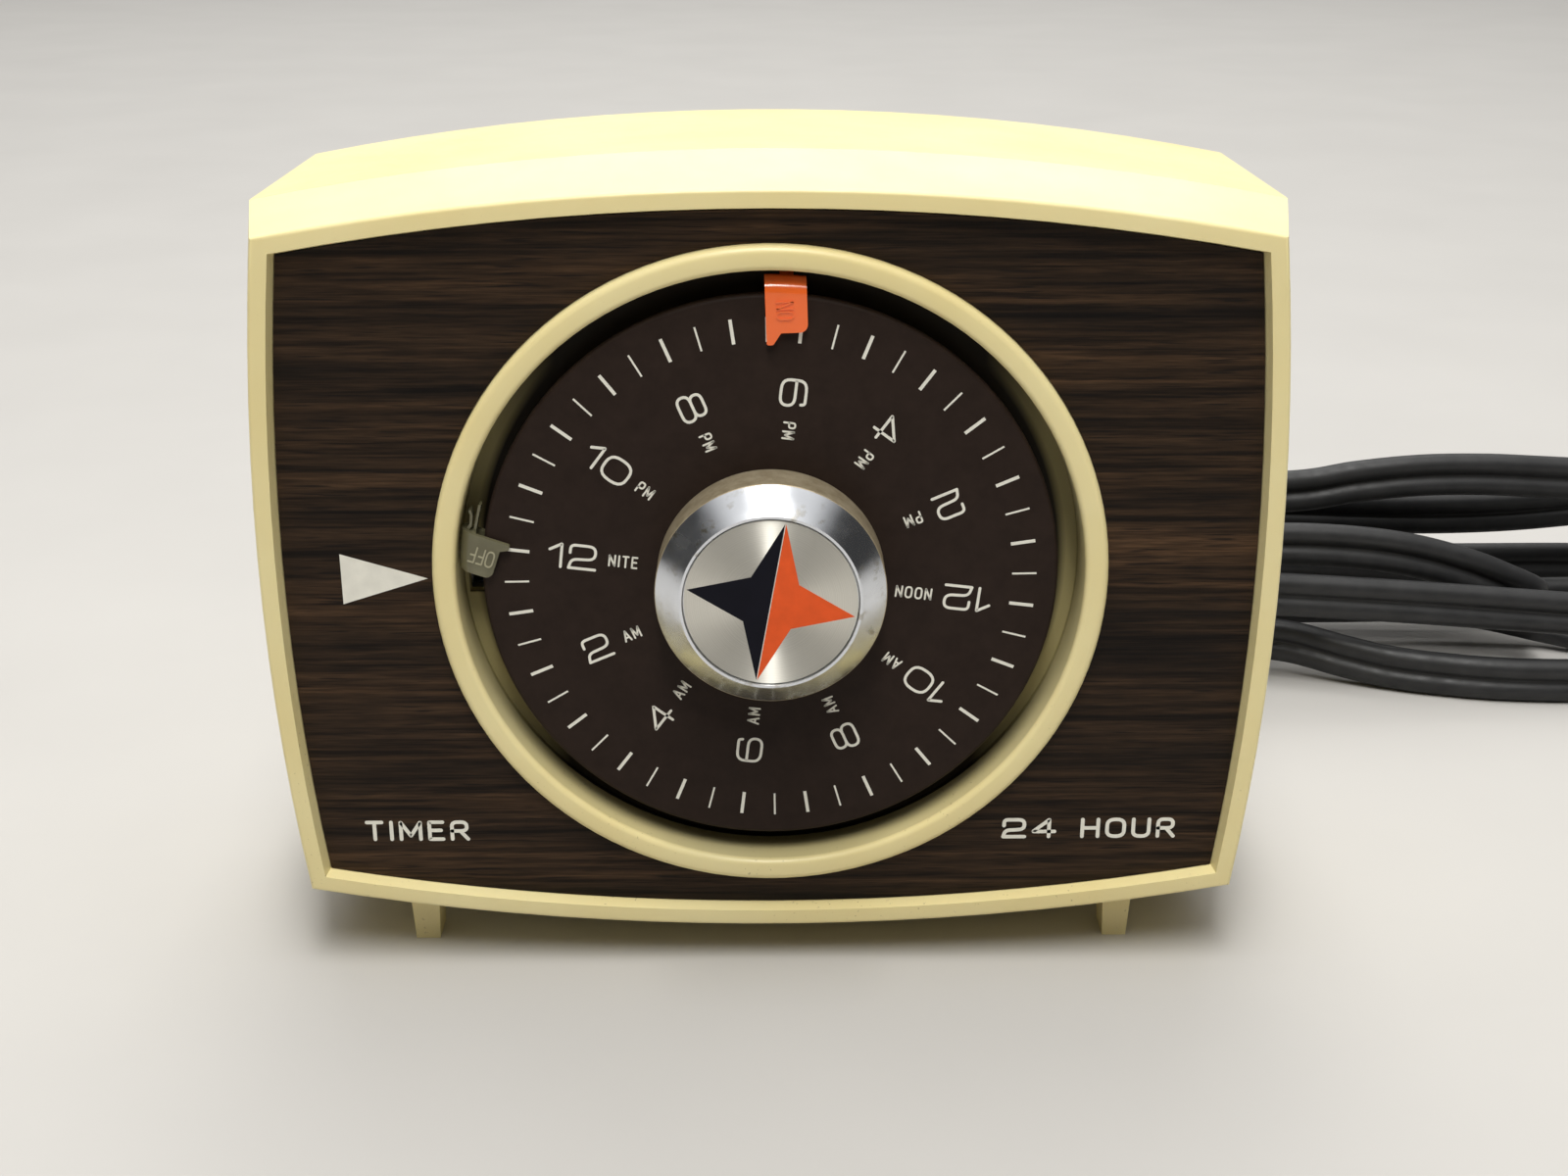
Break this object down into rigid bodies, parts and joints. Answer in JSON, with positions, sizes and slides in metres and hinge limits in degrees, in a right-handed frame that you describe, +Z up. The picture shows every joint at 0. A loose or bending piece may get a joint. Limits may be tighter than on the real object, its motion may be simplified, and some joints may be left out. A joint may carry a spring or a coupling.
{
  "type": "plug-in 24-hour timer",
  "caption": "Plug-in 24-hour timer: bowed plastic case with wood-grain face, hour dial with ON and OFF trippers, bright knob, geared motor and switch inside, socket and corded plug.",
  "frame": {"origin": "on the table plane, straight under the dial's axis, midway between the face and the back of the case", "axes": "+X to the right seen from the front, +Y towards the back, +Z up; the dial's axis is along Y at x = 0, z = 68 mm"},
  "size_m": [0.3866, 0.1692, 0.1321],
  "materials": {
    "case_cream": "smooth moulded cream plastic, slightly yellowed, soft gloss",
    "woodgrain": "satin printed walnut grain film on a thin sheet",
    "dial_brown": "satin dark brown-black printed dial",
    "print_white": "screen-printed off-white ink",
    "print_black": "printed black ink",
    "print_orange": "printed orange ink",
    "knob_chrome": "bright plated metal, lightly tarnished",
    "inlay_aluminium": "circular spun aluminium",
    "tripper_orange": "glossy orange plastic",
    "tripper_smoke": "translucent smoke-grey plastic",
    "steel_parts": "bright zinc-plated steel",
    "brass_parts": "machined brass",
    "phenolic": "dark brown phenolic moulding",
    "lever_nylon": "natural nylon",
    "contact_silver": "silver-faced contacts",
    "winding_copper": "varnished copper winding under tape",
    "cord_black": "ribbed black flexible vinyl",
    "plug_black": "moulded black vinyl",
    "plate_blank": "blank matt aluminium foil plate"
  },
  "bodies": {
    "case": {"front_housing": "case_cream", "rear_cover": "case_cream", "front_feet": "case_cream", "rear_feet": "case_cream", "wood_panel": "woodgrain", "case_screws": "steel_parts", "rating_plate": "plate_blank", "front_plate": "steel_parts", "rear_plate": "steel_parts", "plate_pillars": "steel_parts", "plate_screws": "steel_parts", "front_bush": "brass_parts", "rear_bush": "brass_parts", "motor_can": "steel_parts", "motor_end_plate": "steel_parts", "motor_coil": "winding_copper", "motor_screws": "steel_parts", "lever_pivot": "steel_parts", "arm_pivot": "steel_parts", "switch_base": "phenolic", "fixed_contact": "contact_silver", "terminal_screws": "steel_parts", "inner_leads": "cord_black", "receptacle_body": "phenolic", "receptacle_contacts": "brass_parts", "strain_relief": "plug_black", "power_cord": "cord_black", "plug_body": "plug_black", "plug_blades": "brass_parts"},
    "drive_wheel": {"dial_gear": "brass_parts"},
    "dial": {"dial_disc": "dial_brown", "dial_hub": "phenolic", "dial_arbor": "steel_parts", "knob_body": "knob_chrome", "knob_inlay": "inlay_aluminium", "clutch_spring": "steel_parts", "clutch_collar": "brass_parts"},
    "on_clip": {"tripper_on": "tripper_orange"},
    "off_clip": {"tripper_off": "tripper_smoke"},
    "idler": {"idler_arbor": "steel_parts", "idler_pinion": "brass_parts", "idler_gear": "brass_parts"},
    "motor_output": {"motor_pinion": "brass_parts", "motor_shaft": "steel_parts"},
    "trip_rocker": {"trip_lever": "lever_nylon"},
    "contact_lever": {"contact_arm": "brass_parts", "moving_contact": "contact_silver"}
  },
  "joints": [
    {"name": "wheel_turn", "type": "hinge", "parent": "case", "child": "drive_wheel", "pos_m": [0, -0.0171, 0.068], "axis": [0, 1, 0], "continuous": true},
    {"name": "dial_set", "type": "hinge", "parent": "drive_wheel", "child": "dial", "pos_m": [0, -0.0171, 0.068], "axis": [0, 1, 0], "continuous": true},
    {"name": "on_shift", "type": "hinge", "parent": "dial", "child": "on_clip", "pos_m": [0, -0.031, 0.068], "axis": [0, 1, 0], "range_deg": [-25, 130]},
    {"name": "off_shift", "type": "hinge", "parent": "dial", "child": "off_clip", "pos_m": [0, -0.031, 0.068], "axis": [0, 1, 0], "range_deg": [-130, 25]},
    {"name": "idler_turn", "type": "hinge", "parent": "case", "child": "idler", "pos_m": [0.0144, -0.0142, 0.04306], "axis": [0, 1, 0], "continuous": true},
    {"name": "motor_turn", "type": "hinge", "parent": "case", "child": "motor_output", "pos_m": [-0.00735, -0.0139, 0.04306], "axis": [0, 1, 0], "continuous": true},
    {"name": "lever_trip", "type": "hinge", "parent": "case", "child": "trip_rocker", "pos_m": [-0.0443, -0.0171, 0.068], "axis": [0, 1, 0], "range_deg": [0, 16]},
    {"name": "contact_close", "type": "hinge", "parent": "case", "child": "contact_lever", "pos_m": [-0.0443, -0.014, 0.036], "axis": [0, 1, 0], "range_deg": [-9.6, 0]}
  ],
  "couplings": [
    {"joint": "idler_turn", "follows": "wheel_turn", "ratio": -5},
    {"joint": "motor_turn", "follows": "wheel_turn", "ratio": 24},
    {"joint": "contact_close", "follows": "lever_trip", "ratio": -0.6}
  ]
}
